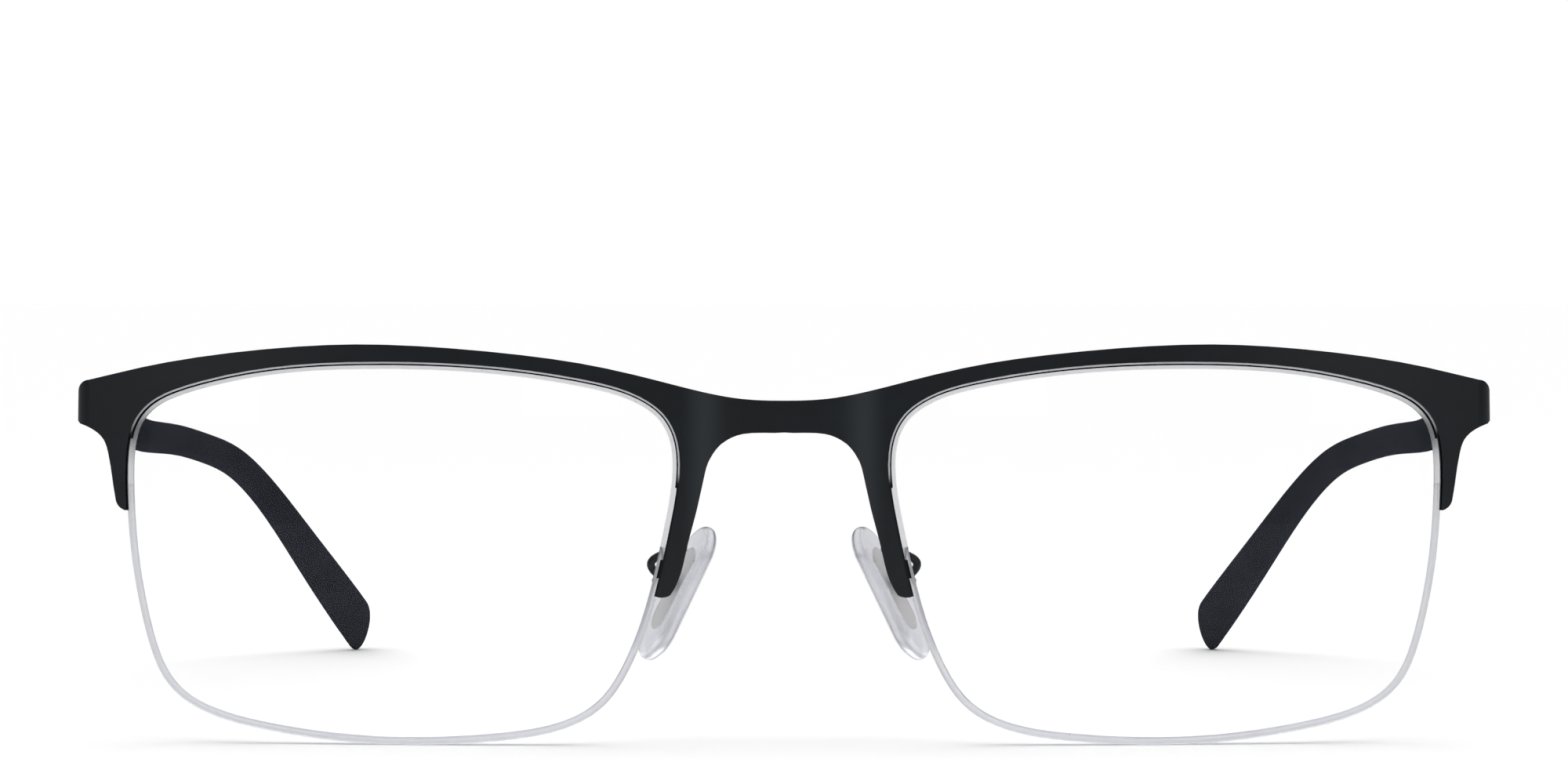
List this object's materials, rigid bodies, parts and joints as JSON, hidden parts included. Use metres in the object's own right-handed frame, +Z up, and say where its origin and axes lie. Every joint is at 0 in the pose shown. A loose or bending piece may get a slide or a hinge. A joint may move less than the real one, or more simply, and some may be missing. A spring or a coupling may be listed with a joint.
{
  "type": "half rim eyeglasses",
  "caption": "Half rim spectacles: metal brow front, clear lenses hung on cords, folding temples and rocking nose pads.",
  "frame": {"origin": "on the table, under the middle of the open pair", "axes": "+Z up, the wearer looks along -Y, +X is the wearer's left"},
  "size_m": [0.1402, 0.1446, 0.0394],
  "materials": {
    "black_metal": "satin",
    "rim_metal": "satin",
    "liner_nylon": "clear",
    "lens_clear": "polished",
    "cord_nylon": "clear",
    "screw_steel": "brushed",
    "core_steel": "satin",
    "temple_plastic": "matte",
    "pad_wire": "satin",
    "pad_metal": "satin",
    "insert_plastic": "gloss",
    "pad_silicone": "clear soft"
  },
  "bodies": {
    "front": {"front_frame": "black_metal", "eyewire_left": "rim_metal", "eyewire_right": "rim_metal", "rim_liner_left": "liner_nylon", "rim_liner_right": "liner_nylon", "lens_left": "lens_clear", "lens_right": "lens_clear", "nylon_cord_left": "cord_nylon", "nylon_cord_right": "cord_nylon", "hinge_block_left": "rim_metal", "hinge_block_right": "rim_metal", "hinge_screw_left": "screw_steel", "hinge_screw_right": "screw_steel", "pad_arm_left": "pad_wire", "pad_arm_right": "pad_wire", "pad_box_left": "pad_metal", "pad_box_right": "pad_metal", "pad_screw_left": "screw_steel", "pad_screw_right": "screw_steel"},
    "temple_left": {"temple_core_left": "core_steel", "temple_arm_left": "temple_plastic"},
    "temple_right": {"temple_core_right": "core_steel", "temple_arm_right": "temple_plastic"},
    "pad_left": {"nose_pad_left": "pad_silicone", "pad_insert_left": "insert_plastic"},
    "pad_right": {"nose_pad_right": "pad_silicone", "pad_insert_right": "insert_plastic"}
  },
  "joints": [
    {"name": "temple_left_fold", "type": "hinge", "parent": "front", "child": "temple_left", "pos_m": [0.0674, -0.05933, 0.03317], "axis": [0, 0, 1], "range_deg": [0, 85]},
    {"name": "temple_right_fold", "type": "hinge", "parent": "front", "child": "temple_right", "pos_m": [-0.0674, -0.05933, 0.03317], "axis": [0, 0, -1], "range_deg": [0, 78]},
    {"name": "pad_left_rock", "type": "hinge", "parent": "front", "child": "pad_left", "pos_m": [0.01141, -0.06446, 0.01601], "axis": [0.3047, 0.9397, 0.1553], "range_deg": [-8, 8]},
    {"name": "pad_right_rock", "type": "hinge", "parent": "front", "child": "pad_right", "pos_m": [-0.01141, -0.06446, 0.01601], "axis": [-0.3047, 0.9397, 0.1553], "range_deg": [-8, 8]}
  ]
}
